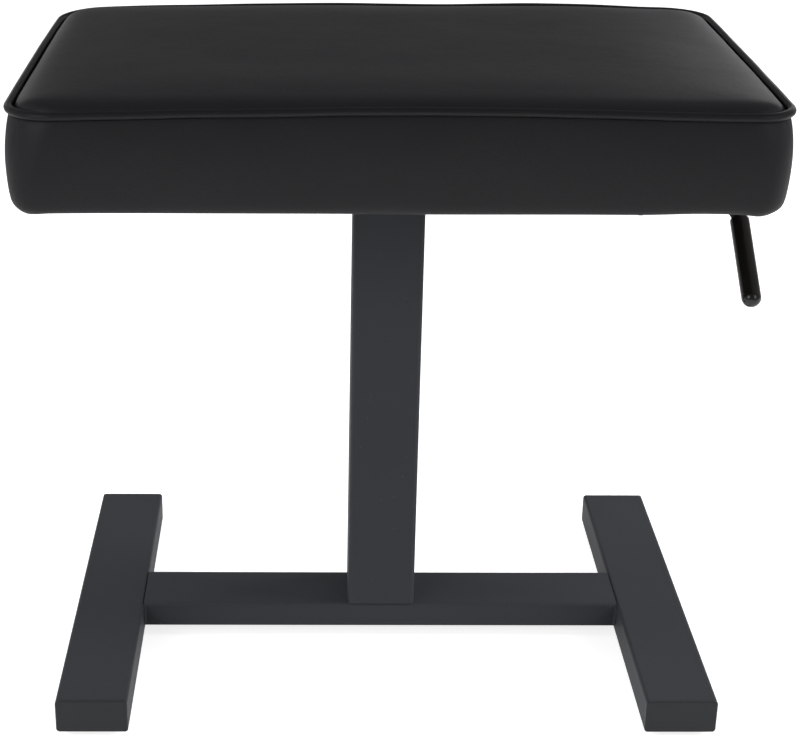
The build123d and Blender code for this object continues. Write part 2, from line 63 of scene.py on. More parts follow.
# Cushion: half its width and depth, its corners, and how far its sides are drawn in between the corners
SEAT_HALF = (0.2445, 0.158)
CORNER_LEFT = 0.030
CORNER_RIGHT_FRONT = 0.024
CORNER_RIGHT_BACK = 0.036
CORNER_FILL_LEFT = 0.42
CORNER_FILL_RIGHT = 0.30
CORNER_FILL_POWER = 1.5
DRAW_SHORT = -0.0010
DRAW_LONG = 0.003
DRAW_POWER = 3

# Seam: the band's tuck under it, and the piping in it
SEAM_TUCK = 0.0034
SEAM_FADE = 0.0105
PIPING_INSET = 0.0033
PIPING_POINTS = 120
PIPING_SIDES = 18
PIPING_RIPPLE = 0.00035
GROOVE_GAP = 0.0002
GROOVE_REACH = 0.012
GROOVE_START = 0.9
GROOVE_LEAN_IN = 0.0006
GROOVE_LEAN_DOWN = 0.0003

# Crown: where it starts, how wide its rolls are, and how full
CROWN_INSET = 0.00635
CROWN_RUN_SIDES = 0.030
CROWN_RUN_FRONT = 0.018
CROWN_RUN_BACK = 0.052
CROWN_POWER = 3.2
CROWN_FULLNESS = 2.6
START_CROWN = 0.72

# Band and underside: the taper to the bottom edge, and the margin that is turned under the board
BOTTOM_TUCK = 0.0085
BOTTOM_EDGE_SHARE = 0.53
TUCK_FADE = 0.0025
TAPER_SHARE = 0.72
TAPER_POWER = 2.2
MARGIN_INSET = 0.046
MARGIN_INNER = 0.0300
BOARD_GAP = 0.0003
FOAM_CLEARANCE = 0.0018

# Cushion mesh: steps from the top's edge inwards, rings of the band from the seam, from the bottom and under it
EDGE_STEPS = (0.0007, 0.0012, 0.0020, 0.0028, 0.0036, 0.0042, 0.0048)
TOP_STEP = 0.0055
BAND_FALLS = (0.0008, 0.0022, 0.0042, 0.0070, 0.0105, 0.0150, 0.0200, 0.0250, 0.0300, 0.0350, 0.0400, 0.0445)
BAND_LIFTS = (0.0145, 0.0115, 0.0088, 0.0066, 0.0048, 0.0034, 0.0023, 0.0014, 0.0007, 0.0002)
UNDER_INSETS = (0.0125, 0.0150, 0.0190, 0.0250, 0.0320, 0.0390, MARGIN_INSET)
HELD_RINGS = 6

# How the cover was pulled: drops of the seam along the front and the back, and of the hem, at places along X
FRONT_DROP = (
    (-0.244, 0.0040), (-0.190, 0.0033), (-0.127, 0.0016), (-0.054, 0.0002), (0.010, -0.0008),
    (0.060, -0.0007), (0.122, 0.0002), (0.172, 0.0012), (0.244, 0.0013),
)
BACK_DROP = (
    (-0.244, 0.0048), (-0.190, 0.0019), (-0.145, 0.0006), (-0.100, -0.0008), (-0.060, -0.0017),
    (-0.025, -0.0020), (0.030, -0.0016), (0.085, -0.0024), (0.130, -0.0028), (0.175, -0.0016),
    (0.205, -0.0004), (0.244, -0.0010),
)
HEM_DROP = (
    (-0.244, 0.0013), (-0.190, 0.0012), (-0.155, 0.0013), (-0.054, 0.0012), (0.010, 0.0012),
    (0.063, 0.0012), (0.122, 0.0005), (0.156, 0.0002), (0.187, -0.0010), (0.218, -0.0009), (0.244, -0.0006),
)
PANEL_DROP_SHARE = 0.35
WAVE_SIZE = 0.075
RIPPLE_SIZE = 0.028
TOP_WAVE = 0.0004
TOP_RIPPLE = 0.0001
BAND_WAVE = 0.0009
BAND_RIPPLE = 0.0003
HEM_WAVE = 0.0004
HEM_WAVE_SIZE = 0.06
CORNER_FOLD = 0.0014
SIDE_FOLD = 0.0012

# Swelling of the cover by a short cloth simulation
SWELL_RISE = 0.0020
PRESSURE = 0.3
SWELL_FRAMES = 20

# Weld beads
BEAD_SINK = 0.0004
BEAD_END = 0.003
BASE_BEAD = {"Width": 0.0042, "Pitch": 0.0014, "Seed": 3}
PLATE_BEAD = {"Width": 0.0044, "Pitch": 0.0015, "Seed": 5}
PLATE_BEAD_END = 0.004
PLATE_BEAD_DROP = 0.0003

# Dust cover and staples
COVER_GAP = 0.0010
CLOTH_STEP = 0.006
CLOTH_THICKNESS = 0.0004
CLOTH_DROP = 0.0004
CLOTH_SAG = 0.0009
CLOTH_SAG_RUN = 0.03
STAPLE_SPACING = 0.034
STAPLE_INSET = 0.007
STAPLE_DROP = 0.0006
STAPLE_END = 0.02

# Floor: how it looks to the camera near and far, and how bright it is in reflections
FLOOR_HALF = 30.0
FLOOR_GREY = 0.72
FLOOR_MIRRORED = 0.70
FLOOR_MIRRORED_LEAST = 0.15
FLOOR_NEAR = 0.78

band_low, band_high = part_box("seat_side_band")
panel_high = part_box("seat_top_panel")[1]
board_low, board_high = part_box("seat_board")
pipe_low, pipe_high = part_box("seat_piping")
LEDGE = band_high.z
CROWN_TOP = panel_high.z
SEAM_HEIGHT = (pipe_low.z + pipe_high.z) / 2
PIPING_RADIUS = (pipe_high.z - pipe_low.z) / 2


class Wire:
    """An output socket of a node tree; arithmetic on it adds Math nodes."""

    def __init__(self, graph, socket):
        self.graph = graph
        self.socket = socket

    def math(self, operation, first, second=0.0):
        return self.graph.node("ShaderNodeMath", {"operation": operation}, {0: first, 1: second})

    def __add__(self, other):
        return self.math("ADD", self, other)

    def __radd__(self, other):
        return self.math("ADD", other, self)

    def __sub__(self, other):
        return self.math("SUBTRACT", self, other)

    def __rsub__(self, other):
        return self.math("SUBTRACT", other, self)

    def __mul__(self, other):
        return self.math("MULTIPLY", self, other)

    def __rmul__(self, other):
        return self.math("MULTIPLY", other, self)

    def above(self, limit):
        return self.math("GREATER_THAN", self, limit)


class Graph:
    """A node tree that is written as calls; used for materials and for Geometry Nodes."""

    def __init__(self, tree):
        self.tree = tree

    def node(self, kind, settings=None, inputs=None, output=0):
        """Add a node: its settings first, then its sockets' values or links."""
        made = self.tree.nodes.new(kind)
        for name, value in (settings or {}).items():
            if name == "stops":
                self.set_stops(made.color_ramp, value)
            else:
                setattr(made, name, value)
        for key, value in (inputs or {}).items():
            if isinstance(value, Wire):
                self.tree.links.new(value.socket, made.inputs[key])
            else:
                made.inputs[key].default_value = value
        return Wire(self, made.outputs[output]) if len(made.outputs) else made

    @staticmethod
    def set_stops(ramp, stops):
        """Give a colour ramp its stops."""
        while len(ramp.elements) < len(stops):
            ramp.elements.new(1.0)
        for element, (place, value) in zip(ramp.elements, stops):
            element.position = place
            element.color = (value, value, value, 1.0)


class Finish(Graph):
    """One procedural material."""

    def __init__(self, name):
        self.material = bpy.data.materials.new(name)
        self.material.use_nodes = True
        self.material.node_tree.nodes.clear()
        super().__init__(self.material.node_tree)
        self.place = self.node("ShaderNodeTexCoord", output="Object")

    def stretched(self, scale, turn=(0, 0, 0)):
        """Object coordinates, scaled and turned."""
        return self.node(
            "ShaderNodeMapping",
            {"vector_type": "POINT"},
            {"Vector": self.place, "Rotation": turn, "Scale": scale},
        )

    def grain(self, scale, detail=3.0, roughness=0.5, vector=None):
        """Noise of one size, from 0 to 1."""
        return self.node(
            "ShaderNodeTexNoise",
            {},
            {"Vector": vector or self.place, "Scale": scale, "Detail": detail, "Roughness": roughness},
        )

    def cells(self, scale, feature="F1", vector=None):
        """Distance in a cell pattern."""
        return self.node(
            "ShaderNodeTexVoronoi", {"feature": feature}, {"Vector": vector or self.place, "Scale": scale}
        )

    def ramp(self, value, *stops):
        """Map a value through grey stops."""
        return self.node("ShaderNodeValToRGB", {"stops": stops}, {"Fac": value})

    def mix(self, share, first, second):
        """Mix two colours."""
        return self.node("ShaderNodeMix", {"data_type": "RGBA"}, {0: share, 6: first, 7: second}, output=2)

    def bump(self, height, strength, distance, under=None):
        """Bump from a height, on top of another bump."""
        inputs = {"Height": height, "Strength": strength, "Distance": distance}
        if under is not None:
            inputs["Normal"] = under
        return self.node("ShaderNodeBump", {}, inputs)

    def close(self, **sockets):
        """Finish with the main shader, its sockets named with underscores for spaces."""
        inputs = {name.replace("_", " "): value for name, value in sockets.items()}
        shader = self.node("ShaderNodeBsdfPrincipled", {}, inputs)
        self.node("ShaderNodeOutputMaterial", {}, {"Surface": shader})
        return self.material


# Finishes

GRIP_TINT = (1.06, 1.0, 0.88)
VINYL_TINT = (0.98, 0.985, 1.10)


def grey(value, tint=(1.0, 1.0, 1.0)):
    """A colour from a grey level and a tint."""
    return (value * tint[0], value * tint[1], value * tint[2], 1.0)


def vinyl(name, level, gloss):
    """Upholstery vinyl: fine pebbled grain, with painted shade in the low borders of its cells; faint cloudy tone.
    """
    f = Finish(name)
    cloud = f.grain(14.0, 2.0)
    pebble = f.cells(1150.0, "SMOOTH_F1")
    pore = f.grain(2600.0, 2.0, 0.6)
    shade = f.mix(cloud, grey(level * 0.92, VINYL_TINT), grey(level * 1.08, VINYL_TINT))
    # Painted shade: the low borders of the pebble cells, the hollows of the grain, are darkened in the colour.
    colour = f.mix(f.ramp(pebble, (0.35, 0.0), (0.9, 0.35)), shade, grey(level * 0.6, VINYL_TINT))
    fold = f.bump(f.grain(55.0, 2.0), 0.10, 0.002)
    skin = f.bump(pebble * -1.0 + pore * 0.4, 0.10, 0.0004, fold)
    roughness = gloss + cloud * 0.08 + pebble * 0.10
    return f.close(Base_Color=colour, Roughness=roughness, Normal=skin, Specular_IOR_Level=0.17)


def powder_coat(name, level, tint):
    """Satin powder coat: fine texture, a few pale specks, thinner and lighter in places."""
    f = Finish(name)
    cloud = f.grain(9.0, 3.0)
    orange_peel = f.grain(950.0, 2.0, 0.55)
    fine = f.grain(2400.0, 1.0)
    speck = f.grain(420.0, 1.0).above(0.79)
    base = f.mix(cloud, grey(level * 0.9, tint), grey(level * 1.12, tint))
    colour = f.mix(speck * 0.35, base, grey(level * 3.2, tint))
    texture = f.bump(orange_peel + fine * 0.5, 0.22, 0.0003)
    return f.close(
        Base_Color=colour, Roughness=0.52 + orange_peel * 0.14 + cloud * 0.06, Normal=texture,
        Specular_IOR_Level=0.17,
    )


def moulded_plastic(name, level, rough, tint=(1.0, 1.0, 1.0)):
    """Moulded plastic with spark texture and slight flow marks."""
    f = Finish(name)
    flow = f.grain(30.0, 3.0, vector=f.stretched((1.0, 6.0, 1.0)))
    spark = f.grain(1700.0, 2.0, 0.6)
    colour = f.mix(flow, grey(level * 0.88, tint), grey(level * 1.12, tint))
    return f.close(
        Base_Color=colour, Roughness=rough + spark * 0.14 + flow * 0.05, Normal=f.bump(spark, 0.2, 0.0003),
        Specular_IOR_Level=0.2,
    )


def rubber(name):
    """Black rubber, dusty and dull."""
    f = Finish(name)
    dust = f.grain(160.0, 4.0, 0.6)
    colour = f.mix(dust, grey(0.014), grey(0.034, (1.0, 0.99, 0.96)))
    return f.close(
        Base_Color=colour, Roughness=0.78 + dust * 0.16,
        Normal=f.bump(f.grain(1300.0, 2.0), 0.3, 0.0004), Specular_IOR_Level=0.25,
    )


def dipped_grip(name):
    """Dipped vinyl grip: smooth and glossy, with slow waves of the dip."""
    f = Finish(name)
    wave = f.grain(120.0, 2.0)
    haze = f.grain(700.0, 3.0)
    colour = f.mix(wave, grey(0.0075, GRIP_TINT), grey(0.0105, GRIP_TINT))
    return f.close(
        Base_Color=colour, Roughness=0.15 + haze * 0.08, Normal=f.bump(wave, 0.05, 0.001),
        Specular_IOR_Level=0.40,
    )


def bright_steel(name):
    """Zinc-plated steel: turned marks, cloudy plating."""
    f = Finish(name)
    turned = f.grain(60.0, 3.0, 0.6, vector=f.stretched((1.0, 1.0, 40.0)))
    cloud = f.grain(240.0, 3.0)
    colour = f.mix(cloud, grey(0.50, (1.0, 0.99, 0.96)), grey(0.66, (1.0, 1.0, 0.98)))
    return f.close(
        Base_Color=colour, Metallic=1.0, Roughness=0.24 + turned * 0.16 + cloud * 0.06,
        Normal=f.bump(turned, 0.08, 0.0004),
    )


def barrel_paint(name):
    """Gloss black paint of the gas spring's barrel."""
    f = Finish(name)
    peel = f.grain(420.0, 2.0)
    colour = f.mix(f.grain(20.0), grey(0.008), grey(0.013))
    return f.close(Base_Color=colour, Roughness=0.2 + peel * 0.08, Normal=f.bump(peel, 0.1, 0.0004))


def plywood(name):
    """Birch plywood: veneers in the edge, long grain on the faces."""
    f = Finish(name)
    fibre = f.grain(26.0, 5.0, 0.65, vector=f.stretched((1.0, 22.0, 22.0)))
    ply = f.node(
        "ShaderNodeTexWave",
        {"wave_type": "BANDS", "bands_direction": "Z"},
        {"Vector": f.place, "Scale": 85.0, "Distortion": 0.25, "Detail": 1.0},
        output="Fac",
    )
    pale = f.mix(fibre, (0.36, 0.235, 0.12, 1.0), (0.62, 0.46, 0.28, 1.0))
    colour = f.mix(ply * 0.35, pale, (0.30, 0.18, 0.085, 1.0))
    return f.close(
        Base_Color=colour, Roughness=0.62 + fibre * 0.18, Normal=f.bump(fibre, 0.25, 0.0006),
        Specular_IOR_Level=0.3,
    )


def spun_cloth(name):
    """Non-woven dust cloth: pressed dots over loose fibres."""
    f = Finish(name)
    dots = f.cells(420.0)
    fibre = f.grain(1500.0, 4.0, 0.7)
    colour = f.mix(fibre, grey(0.010), grey(0.032))
    pressed = f.ramp(dots, (0.12, 0.0), (0.34, 1.0))
    return f.close(
        Base_Color=colour, Roughness=0.86 + fibre * 0.1,
        Normal=f.bump(pressed + fibre * 0.5, 0.5, 0.0004), Specular_IOR_Level=0.15, Sheen_Weight=0.1,
    )


FINISHES = {
    "frame_coat": powder_coat("frame_coat", 0.043, (0.94, 1.0, 1.12)),
    "inner_tube_coat": powder_coat("inner_tube_coat", 0.024, (1.0, 1.0, 1.03)),
    "rod_coat": powder_coat("rod_coat", 0.016, (1.0, 1.0, 1.0)),
    "cap_plastic": moulded_plastic("cap_plastic", 0.033, 0.42, (0.93, 1.0, 1.1)),
    "guide_nylon": moulded_plastic("guide_nylon", 0.016, 0.40),
    "seal_plastic": moulded_plastic("seal_plastic", 0.05, 0.45),
    "pad_rubber": rubber("pad_rubber"),
    "spring_barrel": barrel_paint("spring_barrel"),
    "bright_steel": bright_steel("bright_steel"),
    "grip_vinyl": dipped_grip("grip_vinyl"),
    "plywood": plywood("plywood"),
    "seat_vinyl": vinyl("seat_vinyl", 0.0150, 0.40),
    "piping_vinyl": vinyl("piping_vinyl", 0.012, 0.32),
    "dust_cloth": spun_cloth("dust_cloth"),
}


def dress_nodes():
    """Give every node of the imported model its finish."""
    for row in frame["record"]["subparts"]:
        if row["material_slot"] in FINISHES:
            materials = frame["nodes"][row["node"]].data.materials
            materials.clear()
            materials.append(FINISHES[row["material_slot"]])


def new_piece(name, mesh, finish):
    """A mesh object at the origin with one finish."""
    piece = bpy.data.objects.new(name, mesh)
    bpy.context.scene.collection.objects.link(piece)
    mesh.materials.clear()
    mesh.materials.append(FINISHES[finish])
    return piece


def mesh_from(name, points, faces, edges=()):
    """A mesh from points and faces."""
    mesh = bpy.data.meshes.new(name)
    mesh.from_pydata([tuple(p) for p in points], list(edges), faces)
    mesh.update()
    return mesh


def smooth(mesh):
    """Shade a mesh smooth."""
    mesh.polygons.foreach_set("use_smooth", [True] * len(mesh.polygons))


def baked(piece):
    """Turn a piece's modifiers into its plain mesh."""
    bpy.context.view_layer.update()
    evaluated = piece.evaluated_get(bpy.context.evaluated_depsgraph_get())
    mesh = bpy.data.meshes.new_from_object(evaluated)
    piece.modifiers.clear()
    piece.data = mesh
    return piece


# Cushion


def graded(half, edge_steps, step):
    """Places from -half to half: the given steps at each edge, even ones between."""
    edge = np.cumsum([0.0] + list(edge_steps))
    middle = half - edge[-1]
    count = max(2, round(2 * middle / step))
    inner = np.linspace(-middle, middle, count + 1)
    return np.concatenate([-half + edge[:-1], inner, (half - edge[:-1])[::-1]])


def drawn(x, y, half):
    """Pull the sides in between the corners, less towards the middle of the seat."""
    side = (np.abs(x) / half[0]) ** DRAW_POWER
    end = (np.abs(y) / half[1]) ** DRAW_POWER
    in_x = DRAW_SHORT * (1 - (y / half[1]) ** 2) * side
    in_y = DRAW_LONG * (1 - (x / half[0]) ** 2) * end
    return x - np.sign(x) * in_x, y - np.sign(y) * in_y


def rounded(u, v, inset, fill=0.0):
    """Map a square's points, -1 to 1, to the seat's outline taken in by an inset; a fill sharpens the corners."""
    half = (SEAT_HALF[0] - inset, SEAT_HALF[1] - inset)
    x, y = u * half[0], v * half[1]
    left = CORNER_LEFT * (1 - CORNER_FILL_LEFT * fill)
    right = np.where(v < 0, CORNER_RIGHT_FRONT, CORNER_RIGHT_BACK) * (1 - CORNER_FILL_RIGHT * fill)
    corner = np.where(u < 0, left, right)
    a = np.clip((np.abs(x) - half[0] + corner) / corner, 0, 1)
    b = np.clip((np.abs(y) - half[1] + corner) / corner, 0, 1)
    corner_x = half[0] - corner + corner * a * np.sqrt(1 - b * b / 2)
    corner_y = half[1] - corner + corner * b * np.sqrt(1 - a * a / 2)
    in_corner = (a > 0) & (b > 0)
    x = np.where(in_corner, np.sign(x) * corner_x, x)
    y = np.where(in_corner, np.sign(y) * corner_y, y)
    return drawn(x, y, half)


def band_profile():
    """Inset and height of the cover: the seam's ledge, down the band, under the board, up round it to its top.

    Also the places in that list where the ledge, the band and the outside end.
    """
    height = LEDGE - band_low.z
    ledge = [(CROWN_INSET - 0.0015, LEDGE), (CROWN_INSET - 0.003, LEDGE), (SEAM_TUCK + 0.0003, LEDGE)]
    side = []
    for rise in [height - fall for fall in BAND_FALLS] + list(BAND_LIFTS):
        edge = BOTTOM_EDGE_SHARE * exp(-rise / TUCK_FADE)
        taper = (1 - BOTTOM_EDGE_SHARE) * max(0.0, 1 - rise / (TAPER_SHARE * height)) ** TAPER_POWER
        inset = BOTTOM_TUCK * (edge + taper) + SEAM_TUCK * exp((rise - height) / SEAM_FADE)
        side.append((inset, band_low.z + rise))
    under = [(inset, band_low.z) for inset in UNDER_INSETS]
    board_inset = min(SEAT_HALF[0] - board_high.x, SEAT_HALF[1] - board_high.y)
    inside = board_low.z - BOARD_GAP / 3
    back = [(MARGIN_INSET, inside), (MARGIN_INNER, inside), (board_inset - BOARD_GAP, inside)]
    top = board_high.z + FOAM_CLEARANCE
    back += [(board_inset - BOARD_GAP, (inside + top) / 2), (board_inset - BOARD_GAP, top)]
    outside = ledge + side + under
    return outside + back, len(ledge), len(ledge) + len(side), len(outside)


def crown(x, y, half):
    """Height of the crowned top above the ledge."""
    def roll(distance, run):
        share = np.clip(distance / run, 0, 1)
        return (1 - (1 - share) ** CROWN_POWER) ** (1 / CROWN_FULLNESS)
    sides = roll(half[0] - np.abs(x), CROWN_RUN_SIDES)
    ends = roll(half[1] - np.abs(y), np.where(y > 0, CROWN_RUN_BACK, CROWN_RUN_FRONT))
    return (CROWN_TOP - LEDGE) * sides * ends


def cushion_mesh():
    """Closed cover and foam: a crowned top on a grid, rings down the band and under, a flat underside."""
    half = (SEAT_HALF[0] - CROWN_INSET, SEAT_HALF[1] - CROWN_INSET)
    us = graded(half[0], EDGE_STEPS, TOP_STEP) / half[0]
    vs = graded(half[1], EDGE_STEPS, TOP_STEP) / half[1]
    columns, rows = len(us), len(vs)
    grid_u, grid_v = np.meshgrid(us, vs)
    x, y = rounded(grid_u, grid_v, CROWN_INSET)
    z = LEDGE + START_CROWN * crown(grid_u * half[0], grid_v * half[1], half)
    points = list(np.stack([x, y, z], -1).reshape(-1, 3))
    faces = []
    for row in range(rows - 1):
        for column in range(columns - 1):
            a = row * columns + column
            faces.append((a, a + 1, a + columns + 1, a + columns))
    loop = [(0, c) for c in range(columns - 1)] + [(r, columns - 1) for r in range(rows - 1)]
    loop += [(rows - 1, c) for c in range(columns - 1, 0, -1)] + [(r, 0) for r in range(rows - 1, 0, -1)]
    loop_u = np.array([us[c] for r, c in loop])
    loop_v = np.array([vs[r] for r, c in loop])
    last = [r * columns + c for r, c in loop]
    count = len(loop)
    profile, seam_end, band_end, inside_start = band_profile()
    groups = {"seam": set(last), "held": set()}
    for index, (inset, height) in enumerate(profile):
        fallen = (LEDGE - height) / (LEDGE - band_low.z)
        fill = max(0.0, fallen) ** CORNER_FILL_POWER if index < inside_start else 0.0
        ring_x, ring_y = rounded(loop_u, loop_v, inset, fill)
        first = len(points)
        points += [(px, py, height) for px, py in zip(ring_x, ring_y)]
        ring = list(range(first, first + count))
        faces += [(last[i], ring[i], ring[(i + 1) % count], last[(i + 1) % count]) for i in range(count)]
        if index <= seam_end:
            groups["seam"].update(ring)
        elif index >= band_end - HELD_RINGS:
            groups["held"].update(ring)
        last = ring
    underside = {loop[i]: last[i] for i in range(count)}
    height = profile[-1][1]
    base_x, base_y = rounded(grid_u, grid_v, profile[-1][0])
    for r in range(1, rows - 1):
        for c in range(1, columns - 1):
            underside[r, c] = len(points)
            groups["held"].add(len(points))
            points.append((base_x[r, c], base_y[r, c], height))
    for r in range(rows - 1):
        for c in range(columns - 1):
            corners = ((r, c), (r + 1, c), (r + 1, c + 1), (r, c + 1))
            faces.append(tuple(underside[corner] for corner in corners))
    return mesh_from("seat_cushion", points, faces), groups


def co_of(mesh):
    """A mesh's points as an array."""
    co = np.empty(len(mesh.vertices) * 3)
    mesh.vertices.foreach_get("co", co)
    return co.reshape(-1, 3)


def set_co(mesh, co):
    """Write points back to a mesh."""
    mesh.vertices.foreach_set("co", np.ascontiguousarray(co).ravel())
    mesh.update()


def swell(piece, held):
    """Blow the cover up a little by a cloth simulation, with the seam and the stapled edges held."""
    start = co_of(piece.data)
    group = piece.vertex_groups.new(name="held")
    group.add(sorted(held), 1.0, "REPLACE")
    cloth = piece.modifiers.new("swell", "CLOTH")
    settings = cloth.settings
    settings.quality = 6
    settings.mass = 0.4
    settings.tension_stiffness = 18
    settings.compression_stiffness = 18
    settings.shear_stiffness = 8
    settings.bending_stiffness = 6
    settings.vertex_group_mass = "held"
    settings.use_pressure = True
    settings.uniform_pressure_force = PRESSURE
    settings.effector_weights.gravity = 0
    cloth.collision_settings.use_collision = False
    cloth.point_cache.frame_start = 1
    cloth.point_cache.frame_end = SWELL_FRAMES
    scene = bpy.context.scene
    for step in range(1, SWELL_FRAMES + 1):
        scene.frame_set(step)
    evaluated = piece.evaluated_get(bpy.context.evaluated_depsgraph_get())
    swollen = np.array([v.co for v in evaluated.data.vertices])
    piece.modifiers.clear()
    piece.vertex_groups.clear()
    scene.frame_set(1)
    move = swollen - start
    length = np.linalg.norm(move, axis=1)
    move *= min(1.0, SWELL_RISE / length.max())
    set_co(piece.data, start + move)


def curve(places, knots):
    """Smooth values between knots."""
    at, value = np.array(knots).T
    slope = np.gradient(value, at)
    i = np.clip(np.searchsorted(at, places) - 1, 0, len(at) - 2)
    run = at[i + 1] - at[i]
    t = np.clip((places - at[i]) / run, 0, 1)
    ends = value[i] * (1 - t) ** 2 * (1 + 2 * t) + value[i + 1] * t * t * (3 - 2 * t)
    return ends + run * t * (1 - t) * (slope[i] * (1 - t) - slope[i + 1] * t)


def seam_sag(x, y):
    """How far the seam hangs below its level."""
    back = np.clip(0.5 + 0.5 * y / SEAT_HALF[1], 0, 1)
    return curve(x, FRONT_DROP) * (1 - back) + curve(x, BACK_DROP) * back


def slow_noise(points, size, seed):
    """Smooth noise for points, from about -1 to 1."""
    offset = Vector((seed * 7.31, seed * 3.17, seed * 5.53))
    return np.array([noise.noise(Vector(p) / size + offset) for p in points])


def pull_cover(co):
    """Unevenness of a cover pulled by hand: sagging corners, slow waves, gathers at the lower corners."""
    x, y, z = co[:, 0], co[:, 1], co[:, 2]
    rise = np.clip((z - band_low.z) / (SEAM_HEIGHT - band_low.z), 0, 1)
    outer = np.maximum(np.abs(x) / SEAT_HALF[0], np.abs(y) / SEAT_HALF[1])
    skin = np.where(z > LEDGE, 1.0, np.clip((outer - 0.86) / 0.06, 0, 1))
    out = co.copy()
    panel = np.clip((z - SEAM_HEIGHT) / (CROWN_TOP - SEAM_HEIGHT), 0, 1)
    upper = seam_sag(x, y) * (rise - (1 - PANEL_DROP_SHARE) * panel)
    out[:, 2] -= (upper + curve(x, HEM_DROP) * (1 - rise)) * skin
    wave = slow_noise(co, WAVE_SIZE, 1)
    small = slow_noise(co, RIPPLE_SIZE, 2)
    top = np.clip((z - LEDGE) / 0.012, 0, 1)
    out[:, 2] += top * (TOP_WAVE * wave + TOP_RIPPLE * small)
    side = (1 - top) * skin * np.clip(rise * 4, 0, 1)
    push = side * (BAND_WAVE * wave + BAND_RIPPLE * small)
    out[:, 1] += np.where(np.abs(y) / SEAT_HALF[1] > 0.93, np.sign(y) * push, 0)
    out[:, 0] += np.where(np.abs(x) / SEAT_HALF[0] > 0.955, np.sign(x) * push, 0)
    low = np.clip(1 - rise * 5, 0, 1) * np.where(outer > 0.80, 1.0, 0.0) * (z < board_low.z + 0.02)
    hem = slow_noise(np.stack([x, y, np.zeros_like(z)], -1), HEM_WAVE_SIZE, 3)
    out[:, 2] += low * HEM_WAVE * hem * np.where(outer > 0.92, 1.0, 0.3)
    for sx in (-1, 1):
        for sy in (-1, 1):
            from_side = SEAT_HALF[0] - sx * x
            from_end = SEAT_HALF[1] - sy * y
            fold = np.exp(-(((from_side - 0.017 - 0.003 * sx) / 0.008) ** 2 + ((from_end - 0.010) / 0.008) ** 2))
            second = np.exp(-(((from_side - 0.008) / 0.010) ** 2 + ((from_end - 0.035) / 0.012) ** 2))
            out[:, 2] -= low * (CORNER_FOLD * fold + SIDE_FOLD * second)
    return out


def piping_path(count):
    """Points of the seam line that the piping follows."""
    side = np.linspace(-1, 1, count)
    fine = np.sign(side) * (1 - (1 - np.abs(side)) ** 1.6)
    u = np.concatenate([fine[:-1], np.ones(count - 1), fine[::-1][:-1], -np.ones(count - 1)])
    v = np.concatenate([-np.ones(count - 1), fine[:-1], np.ones(count - 1), fine[::-1][:-1]])
    x, y = rounded(u, v, PIPING_INSET)
    z = SEAM_HEIGHT - seam_sag(x, y)
    points = np.stack([x, y, z], -1)
    ripple = slow_noise(points, 0.045, 4)
    points[:, 2] += PIPING_RIPPLE * ripple
    return points


def seat_in(co, path, radius):
    """Press the cover away from the piping, so that it lies round it in a groove."""
    outer = np.maximum(np.abs(co[:, 0]) / SEAT_HALF[0], np.abs(co[:, 1]) / SEAT_HALF[1])
    near = (np.abs(co[:, 2] - SEAM_HEIGHT) < GROOVE_REACH) & (outer > GROOVE_START)
    runs = np.roll(path, -1, axis=0) - path
    squared = np.einsum("ij,ij->i", runs, runs)
    for i in np.where(near)[0]:
        share = np.clip(np.einsum("ij,ij->i", co[i] - path, runs) / squared, 0, 1)
        nearest = path + runs * share[:, None]
        gap = np.linalg.norm(co[i] - nearest, axis=1)
        best = int(np.argmin(gap))
        if gap[best] < radius:
            at = nearest[best]
            inward = np.array([-at[0] / SEAT_HALF[0] ** 2, -at[1] / SEAT_HALF[1] ** 2, 0.0])
            inward /= np.linalg.norm(inward)
            away = co[i] - at + inward * GROOVE_LEAN_IN + np.array([0, 0, -GROOVE_LEAN_DOWN])
            co[i] = at + away / np.linalg.norm(away) * radius
    return co


def make_cushion(path):
    """The padded seat: swollen cover, pulled by hand, creased round the piping."""
    mesh, groups = cushion_mesh()
    piece = new_piece("seat_cushion", mesh, "seat_vinyl")
    swell(piece, groups["seam"] | groups["held"])
    set_co(piece.data, pull_cover(co_of(piece.data)))
    finer = piece.modifiers.new("finer", "SUBSURF")
    finer.levels = finer.render_levels = 1
    baked(piece)
    set_co(piece.data, seat_in(co_of(piece.data), path, PIPING_RADIUS + GROOVE_GAP))
    smooth(piece.data)
    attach(piece, "seat")
    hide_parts("seat_top_panel", "seat_side_band", "seat_foam")
    return piece


# Geometry Nodes


class Recipe(Graph):
    """A Geometry Nodes tree with named inputs, put on one piece and turned into its mesh."""

    def __init__(self, name, **inputs):
        tree = bpy.data.node_groups.new(name, "GeometryNodeTree")
        tree.is_modifier = True
        super().__init__(tree)
        tree.interface.new_socket(name="Path", in_out="INPUT", socket_type="NodeSocketGeometry")
        self.sockets = {}
        for label, kind in inputs.items():
            socket = tree.interface.new_socket(name=label, in_out="INPUT", socket_type="NodeSocket" + kind)
            self.sockets[label] = socket.identifier
        tree.interface.new_socket(name="Result", in_out="OUTPUT", socket_type="NodeSocketGeometry")
        self.start = tree.nodes.new("NodeGroupInput")

    def given(self, label):
        """One of the tree's named inputs."""
        return Wire(self, self.start.outputs[label])

    def close(self, geometry):
        """End the tree: instances made real, shaded smooth, one finish."""
        real = self.node("GeometryNodeRealizeInstances", {}, {"Geometry": geometry})
        soft = self.node("GeometryNodeSetShadeSmooth", {}, {"Geometry": real})
        dressed = self.node("GeometryNodeSetMaterial", {}, {"Geometry": soft, "Material": self.given("Finish")})
        self.node("NodeGroupOutput", {}, {0: dressed})
        return self

    def run(self, name, path_mesh, finish, **values):
        """Make a piece from a path with this tree."""
        piece = new_piece(name, path_mesh, finish)
        modifier = piece.modifiers.new(name, "NODES")
        modifier.node_group = self.tree
        for label, value in dict(values, Finish=FINISHES[finish]).items():
            modifier[self.sockets[label]] = value
        return baked(piece)


